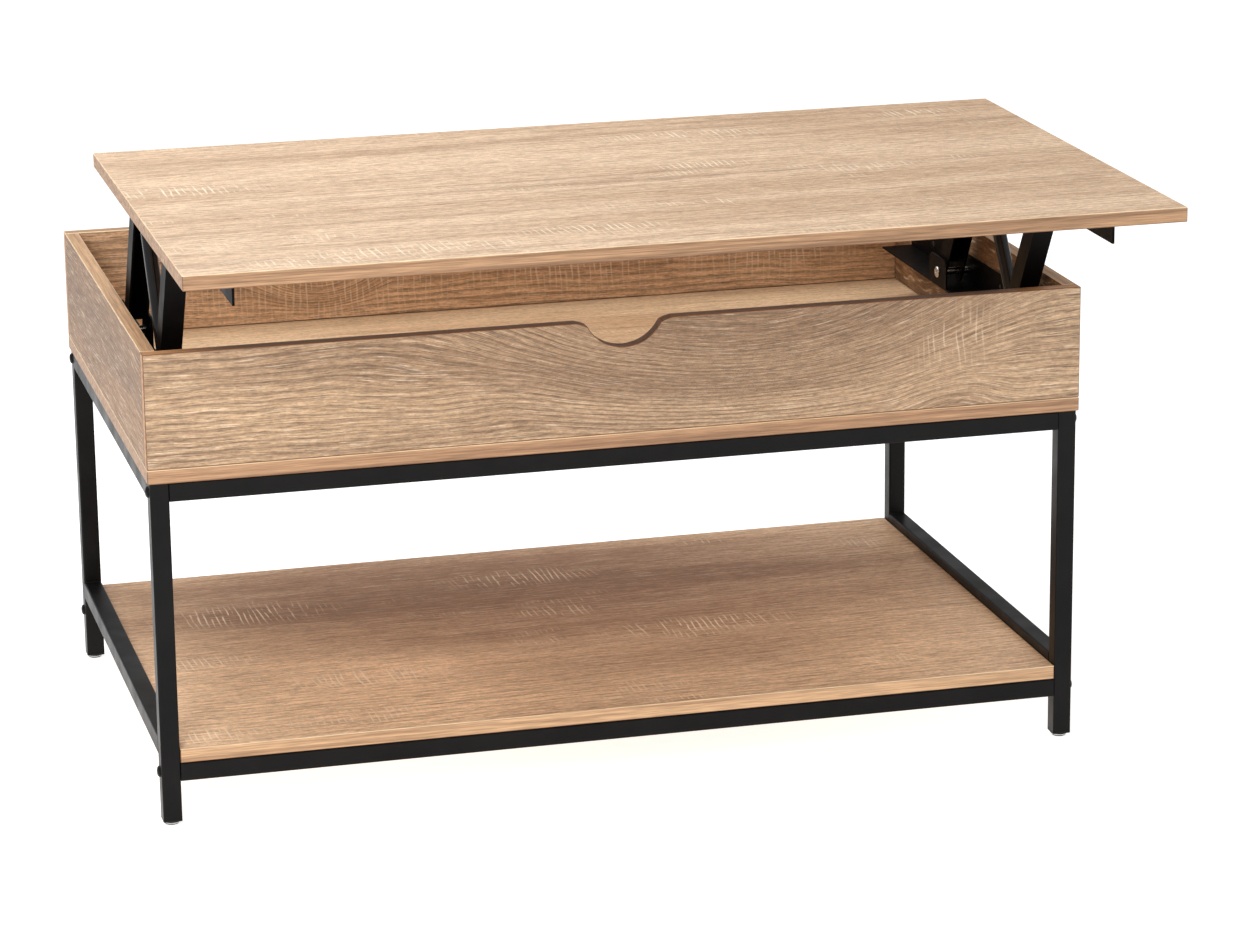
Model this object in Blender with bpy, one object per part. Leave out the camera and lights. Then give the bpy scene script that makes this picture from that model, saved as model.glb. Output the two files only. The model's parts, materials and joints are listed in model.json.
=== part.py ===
"""Lift top coffee table: steel tube base, open shelf, storage box and a top that lifts up and forward.

The table stands on Z = 0, with +X to its right side and -Y to its front, and is modelled with
the top raised. Every piece is built around the middle of the box, and the whole table is then
moved back so that the origin is under the middle of its raised outline. Each side of the box
holds one lift mechanism: two parallel channel arms carry the top, and a telescopic spring strut
lies on their diagonal.
"""
import bmesh
import bpy
from math import atan2, cos, hypot, pi, radians, sin

MM = 0.001

# Driving dimensions of the table, in metres.
WIDTH = 1000 * MM
DEPTH = 600 * MM
BOARD = 15 * MM                  # thickness of every board
BOX_HEIGHT = 136 * MM            # storage box, bottom board included
LEG_LENGTH = 362 * MM
GLIDE_HEIGHT = 6 * MM            # foot below the leg tube
TUBE = 20 * MM                   # square tube
TUBE_WALL = 1.2 * MM
FRAME_INSET = 2 * MM             # frame stands back from the box faces
SHELF_UNDERSIDE = 68 * MM
SIDE_RAIL_UNDERSIDE = 73 * MM    # lower side rails stand a little above the shelf board
TOUCH = 0.3 * MM                 # gap between pieces that touch

# Bolts through the legs into the end plates of the long rails.
BOLT_RADIUS = 3 * MM
BOLT_HOLE_RADIUS = 3.4 * MM
BOLT_HEAD_RADIUS = 6 * MM
BOLT_HEAD_HEIGHT = 3 * MM
BOLT_GRIP = 34 * MM

# Feet: a plastic insert in each leg tube and a glide screwed into it.
INSERT_LIP = 1.5 * MM
INSERT_PLUG = 20 * MM
GLIDE_STEM_RADIUS = 3 * MM
GLIDE_STEM_LENGTH = 15 * MM
GLIDE_RADIUS = 8 * MM
GLIDE_SOLE_RADIUS = 4 * MM

# Finger scoop in the front panel: a round bowl between two small flared shoulders.
SCOOP_WIDTH = 97 * MM
SCOOP_DEPTH = 28 * MM
SCOOP_FLARE = 3.5 * MM           # softening of each shoulder outside the width
SCOOP_SHOULDER = 9 * MM          # from the shoulder to the start of the bowl
SCOOP_SHOULDER_DROP = 4 * MM

# Lift mechanism, as seen from the right side. Angles are measured from +Y towards +Z.
ARM_LENGTH = 193 * MM            # pivot to pivot
ARM_RAISED = radians(121.5)
ARM_CLOSED = radians(10)
PIVOT_BELOW_BOX_TOP = 50 * MM
FRONT_PIVOT_Y = -205 * MM
REAR_PIVOT_Y = 15 * MM
ARM_WIDTH = 22 * MM              # across the channel, along X
ARM_HEIGHT = 25 * MM             # side of the channel
STEEL = 2 * MM                   # sheet steel of the arms and brackets
ARM_INNER_X = 451 * MM           # side of the arms that faces the middle of the table
PIN_RADIUS = 4 * MM
PIN_HOLE_RADIUS = 4.35 * MM
PIN_HEAD_RADIUS = 6.5 * MM
PIN_HEAD_HEIGHT = 2.2 * MM
PIN_REACH = 1 * MM               # how far a top pin stands out of the far side of its arm

# Base bracket on the side panel and angle bracket under the top.
BASE_EAR_X = 447 * MM
BASE_FRONT_Y = -240 * MM
BASE_REAR_Y = 215 * MM
BASE_DEPTH_BELOW_PIVOT = 16 * MM
BASE_RISE_ABOVE_PIVOT = 18 * MM
EAR_LENGTH = 58 * MM
EAR_CORNER = 8 * MM
BASE_SCREWS_Y = (-158 * MM, -95 * MM, 134 * MM)
BASE_SCREW_ABOVE_PIVOT = 3 * MM
ANGLE_X = 442.5 * MM
ANGLE_STEEL = 2.5 * MM
ANGLE_LENGTH = 490 * MM
ANGLE_DROP = 30 * MM
ANGLE_FLANGE = 28 * MM
ANGLE_SCREWS = (-0.42, -0.14, 0.14, 0.42)   # along the angle, as shares of its length
SCREW_HOLE_RADIUS = 2.3 * MM

# Telescopic strut: an outer tube, a middle tube and a rod with a forked end.
STRUT_OUTER_RADIUS = 7.5 * MM
STRUT_OUTER_BORE = 6.3 * MM
STRUT_MIDDLE_RADIUS = 6.0 * MM
STRUT_MIDDLE_BORE = 4.8 * MM
STRUT_ROD_RADIUS = 4.5 * MM
STRUT_EYE_RADIUS = 9 * MM
STRUT_BORE_START = 13 * MM
STRUT_TUBE_END = 186 * MM
STRUT_MIDDLE_SPAN = (18 * MM, 189 * MM)
STRUT_ROD_START = 24 * MM
FORK_CLEARANCE = 1.3 * MM
FORK_PRONG = 1.8 * MM
FORK_WIDTH = 9 * MM
FORK_NECK = 5 * MM
WEB_RELIEF = 4 * MM              # the arm webs stop this far past each pivot

ROUND = 16                       # sides of a small round piece
OVERCUT = 5 * MM                 # how far a cutting tool reaches past the piece it cuts

# Heights and places worked out from the dimensions above.
LEG_BOTTOM = GLIDE_HEIGHT
BOX_BOTTOM = LEG_BOTTOM + LEG_LENGTH
BOX_TOP = BOX_BOTTOM + BOX_HEIGHT
FLOOR_TOP = BOX_BOTTOM + TOUCH + BOARD
WALL_BOTTOM = FLOOR_TOP + TOUCH
FRAME_X = WIDTH / 2 - FRAME_INSET
FRAME_Y = DEPTH / 2 - FRAME_INSET
LONG_RAIL_END = FRAME_X - TUBE - TOUCH
UPPER_RAIL_Z = BOX_BOTTOM - TUBE
LOWER_RAIL_Z = SHELF_UNDERSIDE - TOUCH - TUBE
PIVOT_Z = BOX_TOP - PIVOT_BELOW_BOX_TOP
ARM_CENTRE_X = ARM_INNER_X + ARM_WIDTH / 2
TOP_FORWARD = ARM_LENGTH * (cos(ARM_CLOSED) - cos(ARM_RAISED))
TOP_LIFT = ARM_LENGTH * (sin(ARM_RAISED) - sin(ARM_CLOSED))
CLOSED_GAP = 0.4 * MM
TOP_UNDERSIDE = BOX_TOP + CLOSED_GAP + TOP_LIFT
TOP_CENTRE_Y = -TOP_FORWARD
TOP_PIVOT_Z = PIVOT_Z + ARM_LENGTH * sin(ARM_RAISED)
TOP_FRONT_PIVOT_Y = FRONT_PIVOT_Y + ARM_LENGTH * cos(ARM_RAISED)
TOP_REAR_PIVOT_Y = REAR_PIVOT_Y + ARM_LENGTH * cos(ARM_RAISED)
STRUT_ANGLE = atan2(TOP_PIVOT_Z - PIVOT_Z, TOP_REAR_PIVOT_Y - FRONT_PIVOT_Y)
STRUT_LENGTH = hypot(TOP_PIVOT_Z - PIVOT_Z, TOP_REAR_PIVOT_Y - FRONT_PIVOT_Y)
ORIGIN_SHIFT_Y = TOP_FORWARD / 2

COLOURS = {
    "oak_board": ((0.62, 0.45, 0.30, 1), 0.55, 0.0),
    "black_steel": ((0.012, 0.012, 0.013, 1), 0.42, 0.6),
    "zinc_steel": ((0.62, 0.61, 0.58, 1), 0.30, 1.0),
    "black_plastic": ((0.015, 0.015, 0.015, 1), 0.50, 0.0),
}


def clear_scene():
    for item in list(bpy.data.objects):
        bpy.data.objects.remove(item, do_unlink=True)


def make_material(name):
    colour, roughness, metallic = COLOURS[name]
    material = bpy.data.materials.new(name)
    material.use_nodes = True
    shader = material.node_tree.nodes["Principled BSDF"]
    shader.inputs["Base Color"].default_value = colour
    shader.inputs["Roughness"].default_value = roughness
    shader.inputs["Metallic"].default_value = metallic
    return material


def finish_object(name, mesh_data, material, smooth=False):
    """Turn a bmesh into a named object with its faces pointing out."""
    bmesh.ops.recalc_face_normals(mesh_data, faces=mesh_data.faces)
    if mesh_data.calc_volume(signed=True) < 0:
        bmesh.ops.reverse_faces(mesh_data, faces=mesh_data.faces)
    mesh = bpy.data.meshes.new(name)
    mesh_data.to_mesh(mesh)
    mesh_data.free()
    if smooth:
        mesh.shade_smooth()
        mesh.set_sharp_from_angle(angle=radians(35))
    item = bpy.data.objects.new(name, mesh)
    bpy.context.collection.objects.link(item)
    own_material = bpy.data.materials[material].copy()
    own_material.name = name + "_finish"
    mesh.materials.append(own_material)
    return item


def block(name, low, high, material="oak_board"):
    """A straight-edged block between two corners."""
    shape = bmesh.new()
    bmesh.ops.create_cube(shape, size=1.0)
    for vertex in shape.verts:
        for axis in range(3):
            side = vertex.co[axis] + 0.5
            vertex.co[axis] = low[axis] + side * (high[axis] - low[axis])
    return finish_object(name, shape, material)


def slab(name, outline, x_low, x_high, material="black_steel", smooth=False):
    """A plate whose outline lies in the YZ plane, extruded along X."""
    shape = bmesh.new()
    corners = [shape.verts.new((x_low, y, z)) for y, z in outline]
    face = shape.faces.new(corners)
    swept = bmesh.ops.extrude_face_region(shape, geom=[face])
    moved = [part for part in swept["geom"] if isinstance(part, bmesh.types.BMVert)]
    bmesh.ops.translate(shape, verts=moved, vec=(x_high - x_low, 0, 0))
    return finish_object(name, shape, material, smooth)


def arc(centre, radius, start, end, steps):
    """Points along an arc in the YZ plane."""
    points = []
    for step in range(steps + 1):
        angle = start + (end - start) * step / steps
        points.append((centre[0] + radius * cos(angle), centre[1] + radius * sin(angle)))
    return points


def circle(centre, radius, sides=ROUND):
    return arc(centre, radius, 0, 2 * pi, sides)[:-1]


def turned(name, profile, axis, material, sides=ROUND):
    """A round piece from (radius, position) pairs along an axis, both ends on the axis."""
    shape = bmesh.new()
    points = [shape.verts.new((radius, 0, along)) for radius, along in profile]
    edges = [shape.edges.new(pair) for pair in zip(points, points[1:])]
    bmesh.ops.spin(shape, geom=points + edges, cent=(0, 0, 0), axis=(0, 0, 1),
                   angle=2 * pi, steps=sides, use_duplicate=False)
    bmesh.ops.remove_doubles(shape, verts=shape.verts, dist=0.01 * MM)
    turn = {"X": [(0, 0, 1), (0, 1, 0), (1, 0, 0)], "Y": [(1, 0, 0), (0, 0, 1), (0, 1, 0)],
            "Z": [(1, 0, 0), (0, 1, 0), (0, 0, 1)]}[axis]
    for vertex in shape.verts:
        old = vertex.co.copy()
        for row in range(3):
            vertex.co[row] = sum(turn[row][column] * old[column] for column in range(3))
    return finish_object(name, shape, material, smooth=True)


def combine(item, tool, operation):
    """Cut, join or intersect with another solid, which is used up."""
    modifier = item.modifiers.new("Boolean", "BOOLEAN")
    modifier.operation = operation
    modifier.object = tool
    modifier.solver = "EXACT"
    with bpy.context.temp_override(object=item, active_object=item, selected_objects=[item]):
        bpy.ops.object.modifier_apply(modifier=modifier.name)
    bpy.data.objects.remove(tool, do_unlink=True)
    while len(item.data.materials) > 1:
        item.data.materials.pop()
    return item


def cut(item, tool):
    return combine(item, tool, "DIFFERENCE")


def join(item, tool):
    return combine(item, tool, "UNION")


def square_tube(name, low, high, axis, end_plates=False):
    """Square steel tube along an axis. End plates leave a bolt hole in each end."""
    tube = block(name, low, high, "black_steel")
    inner_low = [value + TUBE_WALL for value in low]
    inner_high = [value - TUBE_WALL for value in high]
    reach = TUBE_WALL * (-1 if end_plates else 2)
    inner_low[axis] = low[axis] - reach
    inner_high[axis] = high[axis] + reach
    cut(tube, block("bore", inner_low, inner_high))
    if end_plates:
        middle = ((low[1] + high[1]) / 2, (low[2] + high[2]) / 2)
        hole = circle(middle, BOLT_HOLE_RADIUS, 12)
        cut(tube, slab("bolt_way", hole, low[0] - OVERCUT, high[0] + OVERCUT))
    return tube


def build_legs():
    """Four upright tubes, each drilled for the bolts of its two long rails."""
    for side, x_sign in (("left", -1), ("right", 1)):
        for end, y_sign in (("front", -1), ("rear", 1)):
            xs = sorted((x_sign * FRAME_X, x_sign * (FRAME_X - TUBE)))
            ys = sorted((y_sign * FRAME_Y, y_sign * (FRAME_Y - TUBE)))
            leg = square_tube(f"{side}_{end}_leg", (xs[0], ys[0], LEG_BOTTOM),
                              (xs[1], ys[1], BOX_BOTTOM), 2)
            for rail_z in (UPPER_RAIL_Z, LOWER_RAIL_Z):
                hole = circle((sum(ys) / 2, rail_z + TUBE / 2), BOLT_HOLE_RADIUS, 12)
                cut(leg, slab("drill", hole, xs[0] - OVERCUT, xs[1] + OVERCUT))


def build_rails():
    """Long rails are bolted between the legs, side rails are welded between them."""
    for level, z in (("upper", UPPER_RAIL_Z), ("lower", LOWER_RAIL_Z)):
        for end, y_sign in (("front", -1), ("rear", 1)):
            ys = sorted((y_sign * FRAME_Y, y_sign * (FRAME_Y - TUBE)))
            square_tube(f"{level}_{end}_rail", (-LONG_RAIL_END, ys[0], z),
                        (LONG_RAIL_END, ys[1], z + TUBE), 0, end_plates=True)
    reach = FRAME_Y - TUBE - TOUCH
    for level, z in (("upper", UPPER_RAIL_Z), ("lower", SIDE_RAIL_UNDERSIDE)):
        for side, x_sign in (("left", -1), ("right", 1)):
            xs = sorted((x_sign * FRAME_X, x_sign * (FRAME_X - TUBE)))
            square_tube(f"{level}_{side}_rail", (xs[0], -reach, z), (xs[1], reach, z + TUBE), 1)


def build_bolts():
    """Low domed bolts through the legs into the ends of the long rails."""
    seat = FRAME_X + TOUCH
    profile = [(0, seat - BOLT_GRIP), (BOLT_RADIUS, seat - BOLT_GRIP), (BOLT_RADIUS, seat)]
    for height, share in ((0, 1), (0.45, 0.94), (0.8, 0.66), (1, 0)):
        profile.append((BOLT_HEAD_RADIUS * share, seat + BOLT_HEAD_HEIGHT * height))
    for level, rail_z in (("upper", UPPER_RAIL_Z), ("lower", LOWER_RAIL_Z)):
        for side, x_sign in (("left", -1), ("right", 1)):
            for end, y_sign in (("front", -1), ("rear", 1)):
                name = f"{level}_{side}_{end}_bolt"
                own = [(radius, x_sign * along) for radius, along in profile]
                bolt = turned(name, own, "X", "black_steel", 12)
                bolt.location = (0, y_sign * (FRAME_Y - TUBE / 2), rail_z + TUBE / 2)


def build_feet():
    """A plastic insert closes each leg, and a zinc plated glide screws up into it."""
    plug_half = TUBE / 2 - TUBE_WALL - TOUCH
    lip_top = LEG_BOTTOM - TOUCH
    dome_top = lip_top - INSERT_LIP - TOUCH
    stem_top = lip_top + GLIDE_STEM_LENGTH
    dome = [(0, 0), (GLIDE_SOLE_RADIUS, 0), (GLIDE_RADIUS * 0.83, dome_top * 0.22),
            (GLIDE_RADIUS, dome_top * 0.6), (GLIDE_RADIUS, dome_top),
            (GLIDE_STEM_RADIUS, dome_top), (GLIDE_STEM_RADIUS, stem_top), (0, stem_top)]
    for side, x_sign in (("left", -1), ("right", 1)):
        for end, y_sign in (("front", -1), ("rear", 1)):
            x = x_sign * (FRAME_X - TUBE / 2)
            y = y_sign * (FRAME_Y - TUBE / 2)
            insert = block(f"{side}_{end}_foot_insert",
                           (x - TUBE / 2, y - TUBE / 2, lip_top - INSERT_LIP),
                           (x + TUBE / 2, y + TUBE / 2, lip_top), "black_plastic")
            join(insert, block("plug", (x - plug_half, y - plug_half, lip_top - INSERT_LIP / 2),
                               (x + plug_half, y + plug_half, lip_top + INSERT_PLUG)))
            drill = turned("drill", [(0, 0), (GLIDE_STEM_RADIUS + TOUCH, 0),
                                     (GLIDE_STEM_RADIUS + TOUCH, stem_top + TOUCH),
                                     (0, stem_top + TOUCH)], "Z", "black_plastic", 12)
            drill.location = (x, y, 0)
            cut(insert, drill)
            glide = turned(f"{side}_{end}_glide", dome, "Z", "zinc_steel", 16)
            glide.location = (x, y, 0)


def scoop_outline():
    """Finger scoop: a shallow arc that flares out into the top edge, as (x, z) points."""
    half = SCOOP_WIDTH / 2
    bowl_half = half - SCOOP_SHOULDER
    sag = SCOOP_DEPTH - SCOOP_SHOULDER_DROP
    radius = (bowl_half ** 2 + sag ** 2) / (2 * sag)
    centre_z = BOX_TOP - SCOOP_DEPTH + radius
    spread = atan2(bowl_half, centre_z - (BOX_TOP - SCOOP_SHOULDER_DROP))
    steps = 22
    bowl = []
    for step in range(steps + 1):
        angle = -spread + 2 * spread * step / steps
        bowl.append((radius * sin(angle), centre_z - radius * cos(angle)))
    left = [(-half - OVERCUT, BOX_TOP + OVERCUT), (-half - SCOOP_FLARE, BOX_TOP + 0.01 * MM),
            (-half, BOX_TOP - SCOOP_SHOULDER_DROP * 0.17),
            (-half + SCOOP_SHOULDER / 2, BOX_TOP - SCOOP_SHOULDER_DROP * 0.55)]
    return left + bowl + [(-x, z) for x, z in reversed(left)]


def build_box():
    """Storage box: bottom board, front and rear panels, and side panels between them."""
    half_x = WIDTH / 2
    half_y = DEPTH / 2
    block("box_bottom_board", (-half_x, -half_y, BOX_BOTTOM + TOUCH), (half_x, half_y, FLOOR_TOP))
    front = block("box_front_panel", (-half_x, -half_y, WALL_BOTTOM),
                  (half_x, -half_y + BOARD, BOX_TOP))
    shape = bmesh.new()
    outline = scoop_outline()
    face = shape.faces.new([shape.verts.new((x, -half_y - BOARD, z)) for x, z in outline])
    swept = bmesh.ops.extrude_face_region(shape, geom=[face])
    moved = [part for part in swept["geom"] if isinstance(part, bmesh.types.BMVert)]
    bmesh.ops.translate(shape, verts=moved, vec=(0, 3 * BOARD, 0))
    cut(front, finish_object("scoop", shape, "oak_board"))
    block("box_rear_panel", (-half_x, half_y - BOARD, WALL_BOTTOM), (half_x, half_y, BOX_TOP))
    reach = half_y - BOARD - TOUCH
    for side, x_sign in (("left", -1), ("right", 1)):
        xs = sorted((x_sign * half_x, x_sign * (half_x - BOARD)))
        block(f"box_{side}_panel", (xs[0], -reach, WALL_BOTTOM), (xs[1], reach, BOX_TOP))


def build_shelf():
    """Shelf board on the lower long rails, between the legs and side rails."""
    half_x = FRAME_X - TUBE - TOUCH
    block("shelf_board", (-half_x, -FRAME_Y, SHELF_UNDERSIDE),
          (half_x, FRAME_Y, SHELF_UNDERSIDE + BOARD))


def mirrored_span(x_sign, x_inner, x_outer):
    """An X span given for the right side, in rising order on the side asked for."""
    return sorted((x_sign * x_inner, x_sign * x_outer))


def ear_outline(pivot_y, low_z):
    """Upright ear with rounded upper corners around a pivot."""
    top = PIVOT_Z + BASE_RISE_ABOVE_PIVOT
    half = EAR_LENGTH / 2
    reach = half - EAR_CORNER
    outline = [(pivot_y - half, low_z), (pivot_y + half, low_z)]
    outline += arc((pivot_y + reach, top - EAR_CORNER), EAR_CORNER, 0, pi / 2, 4)
    outline += arc((pivot_y - reach, top - EAR_CORNER), EAR_CORNER, pi / 2, pi, 4)
    return outline


def build_base_bracket(side, x_sign):
    """Channel screwed to the side panel: wall plate, floor flange and one ear at each pivot."""
    floor = PIVOT_Z - BASE_DEPTH_BELOW_PIVOT
    wall_outer = WIDTH / 2 - BOARD - TOUCH
    top = PIVOT_Z + BASE_RISE_ABOVE_PIVOT
    xs = mirrored_span(x_sign, wall_outer - STEEL, wall_outer)
    bracket = block(f"{side}_base_bracket", (xs[0], BASE_FRONT_Y, floor),
                    (xs[1], BASE_REAR_Y, top), "black_steel")
    xs = mirrored_span(x_sign, BASE_EAR_X, wall_outer - STEEL / 2)
    join(bracket, block("flange", (xs[0], BASE_FRONT_Y, floor),
                        (xs[1], BASE_REAR_Y, floor + STEEL)))
    xs = mirrored_span(x_sign, BASE_EAR_X, BASE_EAR_X + STEEL)
    for pivot_y in (FRONT_PIVOT_Y, REAR_PIVOT_Y):
        join(bracket, slab("ear", ear_outline(pivot_y, floor), xs[0], xs[1]))
    xs = mirrored_span(x_sign, BASE_EAR_X - OVERCUT, WIDTH / 2)
    for pivot_y in (FRONT_PIVOT_Y, REAR_PIVOT_Y):
        hole = circle((pivot_y, PIVOT_Z), PIN_HOLE_RADIUS)
        cut(bracket, slab("pivot_hole", hole, xs[0], xs[1]))
    for screw_y in BASE_SCREWS_Y:
        hole = circle((screw_y, PIVOT_Z + BASE_SCREW_ABOVE_PIVOT), SCREW_HOLE_RADIUS, 12)
        cut(bracket, slab("screw_hole", hole, xs[0], xs[1]))
    return bracket


def build_arm(name, x_sign, pivot_y, web_side):
    """Pressed channel arm. web_side is +1 when the web faces forward and -1 when it faces back."""
    half = ARM_HEIGHT / 2
    xs = mirrored_span(x_sign, ARM_INNER_X, ARM_INNER_X + ARM_WIDTH)
    outline = arc((0, 0), half, pi / 2, 3 * pi / 2, 8)
    outline += arc((ARM_LENGTH, 0), half, -pi / 2, pi / 2, 8)
    arm = slab(name, outline, xs[0], xs[1], smooth=True)
    inside = (xs[0] + STEEL, xs[1] - STEEL)
    web = web_side * (half - STEEL)
    far = -web_side * 2 * half
    pocket_ends = (-2 * half, ARM_LENGTH + 2 * half)
    cut(arm, block("pocket", (inside[0], pocket_ends[0], min(web, far)),
                   (inside[1], pocket_ends[1], max(web, far))))
    relief = (web_side * 2 * half, web - web_side * STEEL)
    for low, high in ((-2 * half, WEB_RELIEF), (ARM_LENGTH - WEB_RELIEF, pocket_ends[1])):
        cut(arm, block("web_relief", (inside[0], low, min(relief)), (inside[1], high, max(relief))))
    for along in (0, ARM_LENGTH):
        hole = circle((along, 0), PIN_HOLE_RADIUS)
        cut(arm, slab("pin_hole", hole, xs[0] - OVERCUT, xs[1] + OVERCUT))
    arm.location = (0, pivot_y, PIVOT_Z)
    arm.rotation_euler = (ARM_RAISED, 0, 0)
    return arm


def build_pin(name, x_sign, x_inner, x_outer, place):
    """Rivet with a low round head on the side that faces the middle of the table."""
    profile = [(0, x_sign * (x_inner - PIN_HEAD_HEIGHT)),
               (PIN_HEAD_RADIUS * 0.7, x_sign * (x_inner - PIN_HEAD_HEIGHT)),
               (PIN_HEAD_RADIUS, x_sign * (x_inner - PIN_HEAD_HEIGHT * 0.45)),
               (PIN_HEAD_RADIUS, x_sign * x_inner), (PIN_RADIUS, x_sign * x_inner),
               (PIN_RADIUS, x_sign * x_outer), (0, x_sign * x_outer)]
    pin = turned(name, profile, "X", "zinc_steel")
    pin.location = place
    return pin


def build_strut(side, x_sign):
    """Telescopic strut from the front base pin to the rear top pin, along local +Y."""
    x = x_sign * ARM_CENTRE_X
    outer = turned(f"{side}_strut_outer_tube",
                   [(0, 0), (STRUT_OUTER_RADIUS, 0), (STRUT_OUTER_RADIUS, STRUT_TUBE_END),
                    (0, STRUT_TUBE_END)], "Y", "black_steel")
    eye = slab("eye", circle((0, 0), STRUT_EYE_RADIUS), -STRUT_OUTER_RADIUS, STRUT_OUTER_RADIUS)
    join(outer, eye)
    bore_end = STRUT_TUBE_END + OVERCUT
    bore = [(0, STRUT_BORE_START), (STRUT_OUTER_BORE, STRUT_BORE_START),
            (STRUT_OUTER_BORE, bore_end), (0, bore_end)]
    cut(outer, turned("bore", bore, "Y", "black_steel"))
    hole = circle((0, 0), PIN_HOLE_RADIUS)
    cut(outer, slab("pin_hole", hole, -2 * STRUT_EYE_RADIUS, 2 * STRUT_EYE_RADIUS))

    start, end = STRUT_MIDDLE_SPAN
    middle = turned(f"{side}_strut_middle_tube",
                    [(0, start), (STRUT_MIDDLE_RADIUS, start), (STRUT_MIDDLE_RADIUS, end),
                     (0, end)], "Y", "zinc_steel")
    bore = [(0, start - OVERCUT), (STRUT_MIDDLE_BORE, start - OVERCUT),
            (STRUT_MIDDLE_BORE, end + OVERCUT), (0, end + OVERCUT)]
    cut(middle, turned("bore", bore, "Y", "zinc_steel"))

    slot_half = PIN_RADIUS + FORK_CLEARANCE
    fork_start = STRUT_LENGTH - slot_half - FORK_NECK
    rod = turned(f"{side}_strut_rod",
                 [(0, STRUT_ROD_START), (STRUT_ROD_RADIUS, STRUT_ROD_START),
                  (STRUT_ROD_RADIUS, fork_start + FORK_NECK / 2), (0, fork_start + FORK_NECK / 2)],
                 "Y", "zinc_steel")
    fork_half = slot_half + FORK_PRONG
    join(rod, block("fork", (-FORK_WIDTH / 2, fork_start, -fork_half),
                    (FORK_WIDTH / 2, STRUT_LENGTH, fork_half)))
    cut(rod, slab("fork_slot", circle((STRUT_LENGTH, 0), slot_half), -FORK_WIDTH, FORK_WIDTH))
    for piece in (outer, middle, rod):
        piece.location = (x, FRONT_PIVOT_Y, PIVOT_Z)
        piece.rotation_euler = (STRUT_ANGLE, 0, 0)


def build_mechanism(side, x_sign):
    build_base_bracket(side, x_sign)
    build_arm(f"{side}_front_arm", x_sign, FRONT_PIVOT_Y, 1)
    build_arm(f"{side}_rear_arm", x_sign, REAR_PIVOT_Y, -1)
    build_strut(side, x_sign)
    pin_end = WIDTH / 2 - BOARD - 2 * TOUCH
    for end, pivot_y in (("front", FRONT_PIVOT_Y), ("rear", REAR_PIVOT_Y)):
        build_pin(f"{side}_{end}_base_pin", x_sign, BASE_EAR_X - TOUCH, pin_end,
                  (0, pivot_y, PIVOT_Z))


def build_lift_top():
    """Raised top board with its angle brackets and pins, hung from an empty on the pivot axis."""
    pivot = bpy.data.objects.new("lift_top_pivot", None)
    bpy.context.collection.objects.link(pivot)
    pivot.location = (0, TOP_FRONT_PIVOT_Y, TOP_PIVOT_Z)
    board_y = TOP_CENTRE_Y - TOP_FRONT_PIVOT_Y
    under = TOP_UNDERSIDE - TOP_PIVOT_Z
    pieces = [block("lift_top_board", (-WIDTH / 2, board_y - DEPTH / 2, under),
                    (WIDTH / 2, board_y + DEPTH / 2, under + BOARD))]
    y_low = board_y - ANGLE_LENGTH / 2
    y_high = board_y + ANGLE_LENGTH / 2
    top = under - TOUCH
    for side, x_sign in (("left", -1), ("right", 1)):
        xs = mirrored_span(x_sign, ANGLE_X, ANGLE_X + ANGLE_STEEL)
        angle = block(f"{side}_top_angle", (xs[0], y_low, top - ANGLE_DROP),
                      (xs[1], y_high, top), "black_steel")
        xs = mirrored_span(x_sign, ANGLE_X + ANGLE_STEEL - ANGLE_FLANGE, ANGLE_X + ANGLE_STEEL / 2)
        join(angle, block("flange", (xs[0], y_low, top - ANGLE_STEEL), (xs[1], y_high, top)))
        for pivot_y in (0, TOP_REAR_PIVOT_Y - TOP_FRONT_PIVOT_Y):
            hole = circle((pivot_y, 0), PIN_HOLE_RADIUS)
            span = mirrored_span(x_sign, ANGLE_X - OVERCUT, ANGLE_X + 2 * OVERCUT)
            cut(angle, slab("pin_hole", hole, span[0], span[1]))
        drill = [(0, -ANGLE_STEEL - OVERCUT), (SCREW_HOLE_RADIUS, -ANGLE_STEEL - OVERCUT),
                 (SCREW_HOLE_RADIUS, OVERCUT), (0, OVERCUT)]
        for share in ANGLE_SCREWS:
            screw_hole = turned("screw_hole", drill, "Z", "black_steel", 12)
            screw_hole.location = (x_sign * (ANGLE_X - ANGLE_FLANGE / 2),
                                   board_y + share * ANGLE_LENGTH, top)
            cut(angle, screw_hole)
        pieces.append(angle)
        for end, pivot_y in (("front", 0), ("rear", TOP_REAR_PIVOT_Y - TOP_FRONT_PIVOT_Y)):
            pieces.append(build_pin(f"{side}_{end}_top_pin", x_sign, ANGLE_X - TOUCH,
                                    ARM_INNER_X + ARM_WIDTH + PIN_REACH, (0, pivot_y, 0)))
    for piece in pieces:
        piece.parent = pivot


def main():
    clear_scene()
    for name in COLOURS:
        make_material(name)
    build_legs()
    build_rails()
    build_bolts()
    build_feet()
    build_box()
    build_shelf()
    for side, x_sign in (("left", -1), ("right", 1)):
        build_mechanism(side, x_sign)
    build_lift_top()
    for item in bpy.data.objects:
        if item.parent is None:
            item.location.y += ORIGIN_SHIFT_Y


main()
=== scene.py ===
# %% [markdown]
# # A lift top coffee table
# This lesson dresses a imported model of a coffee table: oak effect boards, a black steel frame,
# and a lift mechanism in each end of its storage box. The table stands on Z = 0 with its front
# towards -Y and its top raised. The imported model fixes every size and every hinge, so each piece
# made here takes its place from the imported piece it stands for.

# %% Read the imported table
import json
from math import atan2, pi, radians

import bmesh
import bpy
from mathutils import Euler, Matrix, Vector


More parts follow.
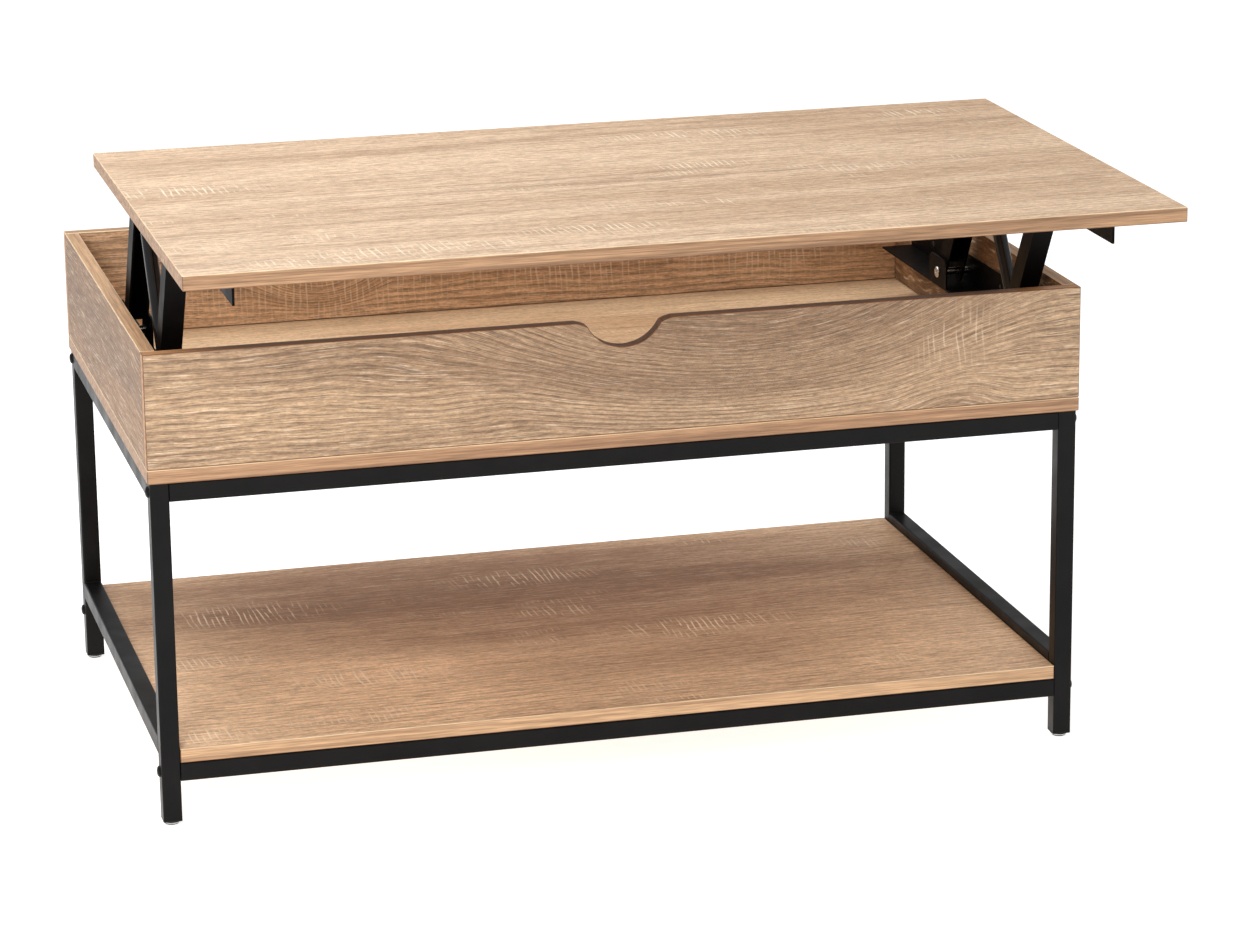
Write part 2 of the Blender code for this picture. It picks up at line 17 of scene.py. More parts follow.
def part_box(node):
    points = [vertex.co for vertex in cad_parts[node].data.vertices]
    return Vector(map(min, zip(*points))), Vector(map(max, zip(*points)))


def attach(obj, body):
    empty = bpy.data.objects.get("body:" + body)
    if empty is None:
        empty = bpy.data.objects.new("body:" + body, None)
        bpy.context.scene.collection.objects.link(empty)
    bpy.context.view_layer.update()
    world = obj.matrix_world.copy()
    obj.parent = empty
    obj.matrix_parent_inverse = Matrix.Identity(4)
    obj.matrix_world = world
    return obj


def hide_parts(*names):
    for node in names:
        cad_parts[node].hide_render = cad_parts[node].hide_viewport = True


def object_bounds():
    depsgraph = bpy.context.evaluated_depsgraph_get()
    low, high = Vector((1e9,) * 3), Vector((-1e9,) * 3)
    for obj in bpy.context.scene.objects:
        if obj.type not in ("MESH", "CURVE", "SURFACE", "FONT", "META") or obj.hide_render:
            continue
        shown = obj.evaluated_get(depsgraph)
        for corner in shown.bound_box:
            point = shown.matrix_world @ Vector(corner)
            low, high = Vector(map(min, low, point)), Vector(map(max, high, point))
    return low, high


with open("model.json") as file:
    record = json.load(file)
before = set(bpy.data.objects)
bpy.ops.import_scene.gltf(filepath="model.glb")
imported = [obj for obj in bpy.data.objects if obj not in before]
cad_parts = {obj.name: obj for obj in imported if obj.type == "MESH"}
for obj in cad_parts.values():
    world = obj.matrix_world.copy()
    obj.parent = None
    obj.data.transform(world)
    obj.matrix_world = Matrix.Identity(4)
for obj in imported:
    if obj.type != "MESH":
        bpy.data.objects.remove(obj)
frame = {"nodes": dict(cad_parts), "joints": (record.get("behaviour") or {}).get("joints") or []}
cad_low, cad_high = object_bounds()
bpy.ops.object.select_all(action="DESELECT")
MM = 0.001
size = cad_high - cad_low
print("table size in mm:", [round(side / MM, 1) for side in size])

# %% [markdown]
# ## Camera
# A long lens from well back keeps the table's lines nearly parallel, as in a catalogue. The
# camera stands to the left of the front and looks a little down on the raised top. Its turn is
# built from three plain angles: around the room, down, and a slight roll.

# %% Camera
LENS = 122.3
CAMERA_PLACE = (-1.075, -4.299, 1.551)
TURN_RIGHT, LOOK_DOWN, ROLL = radians(14.58), radians(15.77), radians(-0.64)

bpy.ops.object.camera_add(location=CAMERA_PLACE)
camera = bpy.context.object
aim = Euler((pi / 2 - LOOK_DOWN, 0, -TURN_RIGHT)).to_matrix() @ Matrix.Rotation(ROLL, 3, "Z")
camera.rotation_euler = aim.to_euler()
camera.data.lens = LENS
camera.data.sensor_width = 36
bpy.context.scene.camera = camera
print("camera at", [round(value, 3) for value in camera.location])

# %% [markdown]
# ## Floor and light
# Furniture of this kind is shown on a white sweep with large soft lamps. One wide plane is the
# floor. Its pale paint glows a little, so that it stays white far from the lamps and still takes
# a soft shadow. The world gives an even white fill, and three area lamps give the boards their
# direction: one from the front left, one overhead and behind, and a weak one from the right.

# %% Floor
FLOOR_GREY, FLOOR_GLOW = 0.68, 0.74

bpy.ops.mesh.primitive_plane_add(size=30, location=(0, 0, cad_low.z))
floor = bpy.context.object
floor.name = "studio_floor"
floor_paint = bpy.data.materials.new("studio_floor_paint")
floor_paint.use_nodes = True
floor_shader = floor_paint.node_tree.nodes["Principled BSDF"]
floor_shader.inputs["Base Color"].default_value = (FLOOR_GREY,) * 3 + (1,)
floor_shader.inputs["Roughness"].default_value = 0.85
floor_shader.inputs["Emission Color"].default_value = (1, 1, 1, 1)
floor_shader.inputs["Emission Strength"].default_value = FLOOR_GLOW
floor.data.materials.append(floor_paint)
print("floor at z", round(cad_low.z, 4))

# %% Light
WORLD_FILL = 0.50

bpy.context.scene.view_settings.view_transform = "Standard"
world = bpy.data.worlds.new("studio_world")
bpy.context.scene.world = world
world.use_nodes = True
sky = world.node_tree.nodes["Background"]
sky.inputs["Color"].default_value = (1, 1, 1, 1)
sky.inputs["Strength"].default_value = WORLD_FILL


def hang_lamp(name, place, target, side, power, colour=(1, 1, 1)):
    """A square soft lamp at a place, turned to face a target."""
    bpy.ops.object.light_add(type="AREA", location=place)
    lamp = bpy.context.object
    lamp.name = name
    lamp.data.size = side
    lamp.data.energy = power
    lamp.data.color = colour
    lamp.rotation_euler = (Vector(target) - Vector(place)).to_track_quat("-Z", "Y").to_euler()
    return lamp


hang_lamp("front_left_lamp", (-1.6, -2.5, 1.7), (0, -0.1, 0.3), 1.2, 46, (1.0, 0.985, 0.965))
hang_lamp("right_lamp", (2.6, -1.8, 1.8), (0, 0, 0.4), 1.6, 14)
hang_lamp("overhead_lamp", (-0.9, 0.9, 2.6), (0, 0.1, 0.5), 1.6, 40)

# %% [markdown]
# ## Modelling helpers
# A few steps come back for every piece. A block starts as a cube primitive stretched between two
# corners. In edit mode an operator works on whatever is selected, so faces or edges are picked by
# a rule on their place and direction. A modifier is added, set and applied in one go.

# %% Start a block, pick parts of it, apply a modifier
SMOOTH_ANGLE = radians(40)


def take(piece):
    """Make one object the only selected and active one."""
    if bpy.context.object and bpy.context.object.mode != "OBJECT":
        bpy.ops.object.mode_set(mode="OBJECT")
    bpy.ops.object.select_all(action="DESELECT")
    piece.select_set(True)
    bpy.context.view_layer.objects.active = piece


def settle(piece):
    """Put the object's place, turn and scale into its mesh."""
    take(piece)
    bpy.ops.object.transform_apply(location=True, rotation=True, scale=True)
    return piece


def start_block(name, low, high):
    """A cube primitive between two corners."""
    low, high = Vector(low), Vector(high)
    bpy.ops.object.select_all(action="DESELECT")
    bpy.ops.mesh.primitive_cube_add(size=1, location=(low + high) / 2, scale=high - low)
    piece = bpy.context.object
    piece.name = piece.data.name = name
    return settle(piece)


def pick(piece, kind, wanted):
    """Edit the piece with only the FACEs or EDGEs selected whose (middle, direction) is wanted."""
    take(piece)
    bpy.ops.object.mode_set(mode="EDIT")
    bpy.ops.mesh.select_mode(type=kind)
    bpy.ops.mesh.select_all(action="DESELECT")
    shape = bmesh.from_edit_mesh(piece.data)
    if kind == "FACE":
        for face in shape.faces:
            face.select_set(wanted(face.calc_center_median(), face.normal))
    else:
        for edge in shape.edges:
            start, end = (vertex.co for vertex in edge.verts)
            edge.select_set(wanted((start + end) / 2, (end - start).normalized()))
    bmesh.update_edit_mesh(piece.data)


def leave_edit():
    bpy.ops.object.mode_set(mode="OBJECT")


def apply_modifier(piece, kind, **settings):
    take(piece)
    modifier = piece.modifiers.new(kind.lower(), kind)
    for setting, value in settings.items():
        setattr(modifier, setting, value)
    bpy.ops.object.modifier_apply(modifier=modifier.name)


def paint(piece, materials):
    """Give the piece these materials and no others."""
    piece.data.materials.clear()
    for material in materials:
        piece.data.materials.append(material)


def finish_piece(piece, materials, body, slot, *nodes):
    """Smooth the piece, paint it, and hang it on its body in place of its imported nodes.

    A piece whose faces already have their own materials is given None."""
    take(piece)
    bpy.ops.object.shade_smooth_by_angle(angle=SMOOTH_ANGLE)
    apply_modifier(piece, "WEIGHTED_NORMAL", mode="FACE_AREA", weight=100, keep_sharp=True)
    if materials:
        paint(piece, materials)
    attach(piece, body)
    if nodes:
        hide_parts(*nodes)
    return piece


# %% [markdown]
# ## Node helpers
# A finish is a small tree of shader nodes. Each node could be placed and wired by hand in the
# shader editor. Here one helper adds a node and links its inputs, and a few short ones stand on
# it: stretched noise, a smooth rise between two values, a product, a blend of two colours and a
# colour made lighter or darker.

# %% Node helpers for materials


def srgb(red, green, blue):
    """A colour given from 0 to 255, as a shader wants it."""
    channels = []
    for value in (red, green, blue):
        value /= 255
        channels.append(value / 12.92 if value <= 0.04045 else ((value + 0.055) / 1.055) ** 2.4)
    return (*channels, 1)


def add_node(tree, kind, sockets=None, **settings):
    """Add a shader node, set its properties, and set or link its inputs."""
    made = tree.nodes.new("ShaderNode" + kind)
    for name, value in settings.items():
        setattr(made, name, value)
    for name, value in (sockets or {}).items():
        if isinstance(value, bpy.types.NodeSocket):
            tree.links.new(value, made.inputs[name])
        else:
            made.inputs[name].default_value = value
    return made


def noise(tree, place, along, across, detail=2.0, roughness=0.5, distortion=0.0):
    """Noise stretched along X: along and across are its cycles per metre."""
    scaled = add_node(tree, "VectorMath", {0: place, 1: (along, across, across)},
                      operation="MULTIPLY")
    made = add_node(tree, "TexNoise", {"Vector": scaled.outputs[0], "Scale": 1.0, "Detail": detail,
                                       "Roughness": roughness, "Distortion": distortion})
    return made.outputs["Fac"]


def rise(tree, value, low, high, from_value=0.0, to_value=1.0):
    """Smoothly turn low..high into from_value..to_value."""
    made = add_node(tree, "MapRange", {"Value": value, "From Min": low, "From Max": high,
                                       "To Min": from_value, "To Max": to_value},
                    interpolation_type="SMOOTHSTEP")
    return made.outputs[0]


def times(tree, first, second):
    return add_node(tree, "Math", {0: first, 1: second}, operation="MULTIPLY").outputs[0]


def times_plus(tree, first, second, third, **settings):
    """first x second + third."""
    return add_node(tree, "Math", {0: first, 1: second, 2: third},
                    operation="MULTIPLY_ADD", **settings).outputs[0]


def mix(tree, factor, first, second):
    """Blend two colours."""
    return add_node(tree, "Mix", {0: factor, 6: first, 7: second}, data_type="RGBA").outputs[2]


def shaded(tree, colour, shade):
    """A colour made darker (below 1) or lighter (above 1)."""
    return add_node(tree, "VectorMath", {0: colour, "Scale": shade},
                    operation="SCALE").outputs[0]


def new_material(name, roughness, metallic=0.0):
    material = bpy.data.materials.new(name)
    material.use_nodes = True
    shader = material.node_tree.nodes["Principled BSDF"]
    shader.inputs["Roughness"].default_value = roughness
    shader.inputs["Metallic"].default_value = metallic
    return material, material.node_tree, shader


# %% [markdown]
# ## Oak
# The boards carry a printed and embossed oak surface. Up close it has several layers: a broad
# drift between a cream and a brown tone, long brown streaks, growth rings that open into arches
# where the board was cut across the log, fine dark fibres and pores, and pale saw marks across
# the grain. An image could show all that, but a pattern made from noise has no seams and no
# fixed size. Everything that follows the grain is drawn on two coordinates: the way along the
# log, and the distance from its heart. Far from the heart that gives straight grain. Close to
# it, and with the log tilted a little, it gives arches.

# %% Oak layers
STROKES_PER_METRE = 145


def closeness(tree, place, spot):
    """1 at the middle of an egg-shaped spot, 0 at its rim. spot is x, y, z, length and width."""
    x, y, z, long, wide = spot
    near = add_node(tree, "Mapping", {"Vector": place, "Location": (x, y, z),
                                      "Scale": (long, wide, wide)},
                    vector_type="TEXTURE").outputs[0]
    away = add_node(tree, "VectorMath", {0: near}, operation="LENGTH").outputs["Value"]
    return rise(tree, away, 0.15, 1.0, 1.0, 0.0)


def log_grain(tree, place, log_place, log_tilt, sway_size, bends):
    """(way along the log, distance from its heart) as a vector, swaying and bent round knots."""
    log = add_node(tree, "Mapping", {"Vector": place, "Location": log_place,
                                     "Rotation": (0, log_tilt[1], log_tilt[0])},
                   vector_type="TEXTURE").outputs[0]
    flat = add_node(tree, "VectorMath", {0: log, 1: (0, 1, 1)}, operation="MULTIPLY").outputs[0]
    distance = add_node(tree, "VectorMath", {0: flat}, operation="LENGTH").outputs["Value"]
    slow = noise(tree, place, 2.2, 6.0, 2)
    quick = noise(tree, place, 11, 26, 2)
    for wave, share in ((slow, 1.0), (quick, 0.22)):
        distance = times_plus(tree, wave, sway_size * share, distance)
    for *spot, push in bends:
        distance = times_plus(tree, closeness(tree, place, spot), push, distance)
    parts = add_node(tree, "SeparateXYZ", {0: log}).outputs
    apart = add_node(tree, "Math", {0: parts[1], 1: parts[2]}, operation="ADD").outputs[0]
    apart = times(tree, apart, 0.05)
    return add_node(tree, "CombineXYZ", {0: parts[0], 1: distance, 2: apart}).outputs[0], distance


def growth_rings(tree, grain, distance, spacing):
    """Late wood: it darkens slowly towards the bark and stops sharply."""
    drift = noise(tree, grain, 1.5, 25, 2)
    phase = times_plus(tree, drift, 2.0, times(tree, distance, 1 / spacing))
    ring = add_node(tree, "Math", {0: phase}, operation="FRACT").outputs[0]
    return times(tree, rise(tree, ring, 0.35, 0.84), rise(tree, ring, 0.90, 1.0, 1.0, 0.0))


def saw_marks(tree, place, spots, loose):
    """Pale ladders of short strokes across the grain, in patches and at chosen spots."""
    slanted = add_node(tree, "Mapping",
                       {"Vector": place, "Rotation": (0, 0.03, -0.05)}).outputs[0]
    jitter = noise(tree, slanted, 14, 7, 3)
    way = add_node(tree, "SeparateXYZ", {0: slanted}).outputs[0]
    comb = times_plus(tree, jitter, 7.0, times(tree, way, 2 * STROKES_PER_METRE))
    comb = add_node(tree, "Math", {0: comb, 1: 1.0}, operation="PINGPONG").outputs[0]
    broken = rise(tree, noise(tree, place, 150, 30, 2), 0.40, 0.54)
    strokes = times(tree, rise(tree, comb, 0.62, 0.88), broken)
    patch = rise(tree, noise(tree, place, 5.5, 17, 3), 0.58, 0.70, 0.0, loose)
    for spot in spots:
        patch = add_node(tree, "Math", {0: patch, 1: closeness(tree, place, spot)},
                         operation="MAXIMUM").outputs[0]
    return times(tree, strokes, patch)


# %% [markdown]
# ## One oak for all the boards
# The layers are laid over one another: the broad tone first, then streaks, rings, fibres and
# pores, and the pale saw marks last. Each board gets its own place in the log, tones and
# strengths; the two side panels share theirs. The tones were set board by board to how bright each
# board comes out, so part of the difference between boards is painted light and shade. Single
# features, such as arches or a group of saw marks, are put at chosen places, and so are spots of
# painted light and shade in the broad tone.

# %% Oak material


def make_oak(name, pale, deep, dark, mark, offset=(0, 0, 0), turned=False,
             log_place=(0, 0.1, 0.25), log_tilt=(0, 0), sway=0.02, ring_spacing=9 * MM,
             ring_share=0.3, streak_share=0.55, fibre_share=0.5, mark_share=0.6, drift_share=1.0,
             loose_marks=0.6, spots=(), bends=(), painted_light_and_shade=(), roughness=0.5):
    """Oak with its grain along X, or along Y when turned. offset moves to another part of it.

    A spot is x, y, z, length and width. spots hold saw marks, which also lie loose elsewhere.
    bends and the spots of painted light and shade carry a push: bends push the rings, in metres,
    and the others push the broad tone, above 0 as painted shade and below 0 as painted light."""
    material, tree, shader = new_material(name, roughness)
    here = add_node(tree, "TexCoord").outputs["Object"]
    if turned:
        here = add_node(tree, "Mapping", {"Vector": here, "Rotation": (0, 0, -pi / 2)}).outputs[0]
    place = add_node(tree, "Mapping", {"Vector": here, "Location": offset}).outputs[0]
    grain, distance = log_grain(tree, here, log_place, log_tilt, sway, bends)
    grain = add_node(tree, "Mapping", {"Vector": grain, "Location": offset}).outputs[0]

    drift = noise(tree, grain, 1.0, 11, 3, 0.55, 0.2)
    drift = rise(tree, drift, 0.38, 0.64, 0.5 - drift_share / 2, 0.5 + drift_share / 2)
    # Painted light and shade: a push above 0 moves the broad tone towards the deep tone as painted
    # shade, a push below 0 towards the pale tone as painted light.
    for *spot, push in painted_light_and_shade:
        drift = times_plus(tree, closeness(tree, here, spot), push, drift, use_clamp=True)
    colour = mix(tree, drift, pale, deep)
    streaks = rise(tree, noise(tree, grain, 1.1, 42, 6, 0.65, 0.1), 0.54, 0.70)
    colour = mix(tree, times(tree, streaks, streak_share), colour, dark)
    lines = rise(tree, noise(tree, grain, 2.4, 170, 3, 0.6), 0.56, 0.68)
    colour = mix(tree, times(tree, lines, streak_share * 0.55), colour, dark)
    rings = times(tree, growth_rings(tree, grain, distance, ring_spacing),
                  rise(tree, noise(tree, grain, 1.6, 8, 2), 0.36, 0.60, 0.45, 1.0))
    colour = mix(tree, times(tree, rings, ring_share), colour, dark)

    fibres = noise(tree, grain, 26, 880, 3, 0.60)
    pores = rise(tree, noise(tree, grain, 60, 1000, 2, 0.6), 0.55, 0.65)
    fleck = noise(tree, place, 170, 430, 2, 0.7)
    colour = mix(tree, times(tree, rise(tree, fibres, 0.50, 0.64), fibre_share), colour, dark)
    lights = rise(tree, fibres, 0.44, 0.30)
    colour = mix(tree, times(tree, lights, fibre_share * 0.7), colour, mark)
    shade = times(tree, rise(tree, fleck, 0.34, 0.66, 0.86, 1.14),
                  rise(tree, pores, 0.0, 1.0, 1.07, 0.66))
    colour = shaded(tree, colour, shade)
    marks = times(tree, saw_marks(tree, here, spots, loose_marks), mark_share)
    colour = mix(tree, marks, colour, mark)
    tree.links.new(colour, shader.inputs["Base Color"])

    relief = add_node(tree, "Math", {0: fibres, 1: pores}, operation="ADD").outputs[0]
    relief = times(tree, relief, -1.0)
    bump = add_node(tree, "Bump", {"Height": relief, "Strength": 0.45, "Distance": 0.18 * MM})
    tree.links.new(bump.outputs[0], shader.inputs["Normal"])
    gloss = rise(tree, fibres, 0.2, 0.8, roughness - 0.06, roughness + 0.10)
    tree.links.new(gloss, shader.inputs["Roughness"])
    return material


# %% Oak of each board
TOP_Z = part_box("lift_top_board")[1].z
SHELF_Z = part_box("shelf_board")[1].z
FRONT_Y, REAR_Y = -0.15, 0.43  # inside the front and rear panels
CREAM, TAN = srgb(232, 201, 168), srgb(206, 172, 138)
BROWN, SAW_MARK = srgb(138, 104, 78), srgb(250, 232, 206)
top_oak = make_oak("lift_top_oak", CREAM, TAN, BROWN, SAW_MARK, offset=(0.3, 0.1, 0.0),
                   log_place=(0, 0.90, 0.40), log_tilt=(radians(1.0), 0), sway=0.016,
                   ring_share=0.24, fibre_share=0.62, streak_share=0.50, mark_share=0.95,
                   spots=((-0.27, -0.40, TOP_Z, 0.16, 0.035), (-0.37, -0.42, TOP_Z, 0.10, 0.03),
                          (-0.44, -0.07, TOP_Z, 0.12, 0.035), (-0.08, -0.36, TOP_Z, 0.12, 0.025),
                          (0.12, 0.06, TOP_Z, 0.14, 0.025), (0.10, -0.10, TOP_Z, 0.08, 0.025),
                          (0.40, 0.10, TOP_Z, 0.08, 0.03)),
                   # Painted light at the near left and at the right front, painted shade at the
                   # far right.
                   painted_light_and_shade=((-0.42, -0.35, TOP_Z, 0.50, 0.30, -0.5),
                           (0.30, -0.40, TOP_Z, 0.40, 0.12, -0.5),
                           (0.40, 0.10, TOP_Z, 0.50, 0.30, 0.3)))
# The front panel's sand tones are set darker than the top's cream, partly as painted shade on the
# upright face.
SAND, SAND_DEEP = srgb(200, 168, 133), srgb(150, 120, 92)
front_oak = make_oak("front_panel_oak", SAND, SAND_DEEP, srgb(104, 80, 60), SAW_MARK,
                     offset=(0.1, 0.13, 0.0), log_place=(0, FRONT_Y, 0.20), sway=0.030,
                     ring_spacing=9 * MM, ring_share=0.62, streak_share=0.20,
                     fibre_share=0.60, mark_share=0.30, loose_marks=0.1, drift_share=0.5,
                     spots=((0.36, FRONT_Y, 0.46, 0.07, 0.05),),
                     bends=((0.13, FRONT_Y, 0.52, 0.36, 0.17, 0.130),
                            (0.36, FRONT_Y, 0.40, 0.08, 0.05, -0.014),
                            (-0.20, FRONT_Y, 0.45, 0.12, 0.06, 0.012)),
                     # Painted shade along the upper middle by the scoop, under the raised top, and
                     # painted light at the left end.
                     painted_light_and_shade=((0.12, FRONT_Y, 0.48, 0.36, 0.10, 0.50),
                             (-0.42, FRONT_Y, 0.42, 0.20, 0.14, -0.2)))
# The side panels' tones are set darker than the top's, partly as painted shade on the upright side
# faces.
side_oak = make_oak("side_panel_oak", srgb(168, 126, 84), srgb(124, 90, 58),
                    srgb(96, 72, 54), SAW_MARK, offset=(0.7, 0.5, 0.1), turned=True,
                    log_place=(0.1, 0.5, 0.20), sway=0.035, ring_share=0.45,
                    streak_share=0.24, fibre_share=0.72, mark_share=0.3, loose_marks=0.2,
                    drift_share=0.6)
# The rear panel's tones are set lighter, as painted light against the shade of the raised top over
# its inner face.
rear_oak = make_oak("rear_panel_oak", srgb(242, 201, 160), srgb(200, 159, 123),
                    srgb(112, 82, 58), SAW_MARK, offset=(1.7, 0.3, 0.6),
                    log_place=(0, REAR_Y, 0.25), sway=0.03, ring_share=0.55, fibre_share=0.50,
                    mark_share=0.62, bends=((-0.21, REAR_Y, 0.455, 0.10, 0.07, 0.100),),
                    spots=((-0.20, REAR_Y, 0.46, 0.26, 0.12), (0.08, REAR_Y, 0.46, 0.24, 0.09),
                           (0.33, REAR_Y, 0.46, 0.18, 0.09)))
floor_oak = make_oak("box_floor_oak", srgb(234, 200, 160), srgb(206, 166, 126),
                     srgb(150, 112, 80), SAW_MARK, offset=(2.1, 1.3, 0.2), ring_share=0.2,
                     fibre_share=0.30)
shelf_oak = make_oak("shelf_oak", srgb(244, 208, 170), srgb(162, 124, 93), srgb(118, 88, 64),
                     SAW_MARK, offset=(0.9, 2.4, 0.4), log_place=(0.0, -0.70, 0.30),
                     log_tilt=(radians(1.0), radians(0.8)), sway=0.02, ring_share=0.26,
                     fibre_share=0.62, mark_share=0.85, drift_share=0.35, streak_share=0.34,
                     spots=((-0.34, 0.28, SHELF_Z, 0.14, 0.05),
                            (-0.40, 0.12, SHELF_Z, 0.08, 0.03),
                            (-0.25, 0.02, SHELF_Z, 0.12, 0.04), (0.15, 0.10, SHELF_Z, 0.15, 0.04),
                            (0.0, 0.33, SHELF_Z, 0.12, 0.04), (-0.44, -0.12, SHELF_Z, 0.06, 0.03)),
                     # Painted shadow of the box at the back middle, and painted light at the front
                     # left and at the right end.
                     painted_light_and_shade=((-0.05, 0.30, SHELF_Z, 0.60, 0.26, 0.6),
                             (-0.40, -0.05, SHELF_Z, 0.40, 0.30, -1.0),
                             (0.42, -0.02, SHELF_Z, 0.26, 0.22, -0.5)))
print("oak materials:", sum(material.name.endswith("oak") for material in bpy.data.materials))

# %% [markdown]
# ## Edge bands
# The narrow sides of a board are covered by a thin strip of the same print, glued on with its
# grain along the strip. It reads a little darker than the face, with long thin brown lines. The
# strip's edges are scraped round. The scraped corner is drawn with two arris finishes of painted
# light: a pale one as painted highlight where it catches the light from above, and a dark one as
# painted shade where it turns away.

# %% Edge band and arris materials


def make_band(name, pale, deep, turned=False, offset=(0, 0, 0), middle_painted_shadow=1.0):
    """A strip with its grain along it. Its last argument darkens it away from the table's ends, as
    painted shadow of the raised top.
    """
    material, tree, shader = new_material(name, 0.5)
    place = add_node(tree, "TexCoord").outputs["Object"]
    place = add_node(tree, "Mapping", {"Vector": place, "Location": offset,
                                       "Rotation": (0, 0, -pi / 2 if turned else 0)}).outputs[0]
    lines = noise(tree, place, 2.5, 190, 4, 0.6, 0.2)
    colour = mix(tree, rise(tree, lines, 0.40, 0.66), pale, deep)
    fibres = noise(tree, place, 30, 900, 2)
    shade = rise(tree, fibres, 0.34, 0.66, 0.80, 1.14)
    # Painted shadow of the raised top: the band darkens towards the middle of the table.
    if middle_painted_shadow < 1:
        across = add_node(tree, "SeparateXYZ", {0: place}).outputs[0]
        out = add_node(tree, "Math", {0: across}, operation="ABSOLUTE").outputs[0]
        shade = times(tree, shade, rise(tree, out, 0.40, 0.485, middle_painted_shadow, 1.0))
    tree.links.new(shaded(tree, colour, shade), shader.inputs["Base Color"])
    bump = add_node(tree, "Bump", {"Height": fibres, "Strength": 0.25, "Distance": 0.1 * MM})
    tree.links.new(bump.outputs[0], shader.inputs["Normal"])
    return material


top_band = make_band("lift_top_band", srgb(182, 142, 106), srgb(130, 96, 68))
# The scoop band holds painted shadow: it is darkened towards the middle, under the raised top.
front_band_painted_shadow = make_band("scoop_band_painted_shadow", srgb(196, 146, 98), srgb(158, 110, 70), middle_painted_shadow=0.26)
box_band = make_band("box_band", srgb(192, 150, 110), srgb(152, 114, 80), offset=(1, 0, 0))
turned_band = make_band("side_panel_band", srgb(198, 158, 118), srgb(160, 122, 88), True)
floor_band = make_band("box_floor_band", srgb(182, 142, 106), srgb(140, 104, 76),
                       offset=(0, 3, 0))
shelf_band = make_band("shelf_band", srgb(206, 166, 126), srgb(166, 128, 94), offset=(2, 0, 0))
# Painted highlight and painted shade for the eased corners: the pale arris stands for the light
# they catch from above, the dark one for the shade where they turn away.
painted_highlight_arris = make_band("painted_highlight_arris", srgb(240, 214, 178), srgb(222, 190, 150))
painted_shade_arris = make_band("painted_shade_arris", srgb(132, 88, 54), srgb(102, 66, 40))
print("bands:", sum("band" in material.name for material in bpy.data.materials))

# %% [markdown]
# ## Boards
# Each board is a block with its twelve edges eased by the scraper. The block is stretched to the
# packed board, its narrow faces take the edge band, and a small round bevel gives the eased edges.
# The strips round the board's upper side take the pale arris, a painted highlight, and all others
# the dark one, painted shade.

# %% Plain boards
ARRIS = 0.8 * MM
UPPER_STRIP = 2 * MM
FACE, BAND, EASED, LOWER = 0, 1, 2, 3
X_FACES, Y_FACES, Z_FACES = 0, 1, 2


def band_the_edges(board, face_axis):
    """Give every face that doesn't look along face_axis the band material."""
    for face in board.data.polygons:
        face.material_index = FACE if abs(face.normal[face_axis]) > 0.9 else BAND


def ease_corners(board):
    """Round all sharp edges of a board, and tell the upper rounded strips from the others."""
    pick(board, "EDGE", lambda middle, way: True)
    shape = bmesh.from_edit_mesh(board.data)
    for edge in shape.edges:
        edge.select_set(len(edge.link_faces) == 2 and edge.calc_face_angle() > radians(30))
    bmesh.update_edit_mesh(board.data)
    bpy.ops.mesh.bevel(offset=ARRIS, segments=3, affect="EDGES", material=EASED)
    leave_edit()
    top = max(vertex.co.z for vertex in board.data.vertices)
    # The lower strips move to the last slot, which holds the arris in painted shade.
    for face in board.data.polygons:
        if face.material_index == EASED and face.center.z < top - UPPER_STRIP:
            face.material_index = LOWER


def make_board(node, face_axis, materials, body="frame_and_box", slot="oak_board"):
    low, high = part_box(node)
    board = start_block(node + "_oak", low, high)
    paint(board, materials)
    band_the_edges(board, face_axis)
    ease_corners(board)
    return finish_piece(board, None, body, slot, node)


make_board("lift_top_board", Z_FACES, (top_oak, top_band, painted_highlight_arris, painted_shade_arris), "lift_top",
           "lift_top_board")
make_board("box_bottom_board", Z_FACES, (floor_oak, floor_band, painted_highlight_arris, painted_shade_arris))
make_board("box_rear_panel", Y_FACES, (rear_oak, box_band, painted_highlight_arris, painted_shade_arris))
make_board("box_left_panel", X_FACES, (side_oak, turned_band, painted_highlight_arris, painted_shade_arris))
make_board("box_right_panel", X_FACES, (side_oak, turned_band, painted_highlight_arris, painted_shade_arris))
make_board("shelf_board", Z_FACES, (shelf_oak, shelf_band, painted_highlight_arris, painted_shade_arris))

# %% [markdown]
# ## Front panel
# The front panel has a routed finger scoop in its upper edge. The scoop's curve is already right
# in the imported panel, so a copy of its mesh is merged into one clean shell, its flat faces are
# dissolved into single faces, and only then can the corners be eased. Its band darkens towards the
# middle of the table's length as painted shadow of the raised top, and all its eased corners take
# the dark arris, painted shade.

# %% Front panel with its scoop


def copy_packed(node, name):
    """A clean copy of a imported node's mesh: merged, and with its flat faces joined."""
    take(frame["nodes"][node])
    bpy.ops.object.duplicate(linked=False)
    piece = bpy.context.object
    piece.name = piece.data.name = name
    for key in list(piece.keys()):
        del piece[key]
    world_place = piece.matrix_world.copy()
    piece.parent = None
    piece.matrix_world = world_place
    piece.data.materials.clear()
    pick(piece, "FACE", lambda middle, normal: True)
    bpy.ops.mesh.customdata_custom_splitnormals_clear()
    bpy.ops.mesh.remove_doubles(threshold=0.005 * MM)
    bpy.ops.mesh.dissolve_limited(angle_limit=radians(1))
    leave_edit()
    return piece


front_panel = copy_packed("box_front_panel", "box_front_panel_oak")
# Both arris slots get the arris in painted shade, since the panel's upper corners lie under the
# raised top.
paint(front_panel, (front_oak, front_band_painted_shadow, painted_shade_arris, painted_shade_arris))
band_the_edges(front_panel, Y_FACES)
ease_corners(front_panel)
finish_piece(front_panel, None, "frame_and_box", "oak_board", "box_front_panel")
print("front panel faces:", len(front_panel.data.polygons))

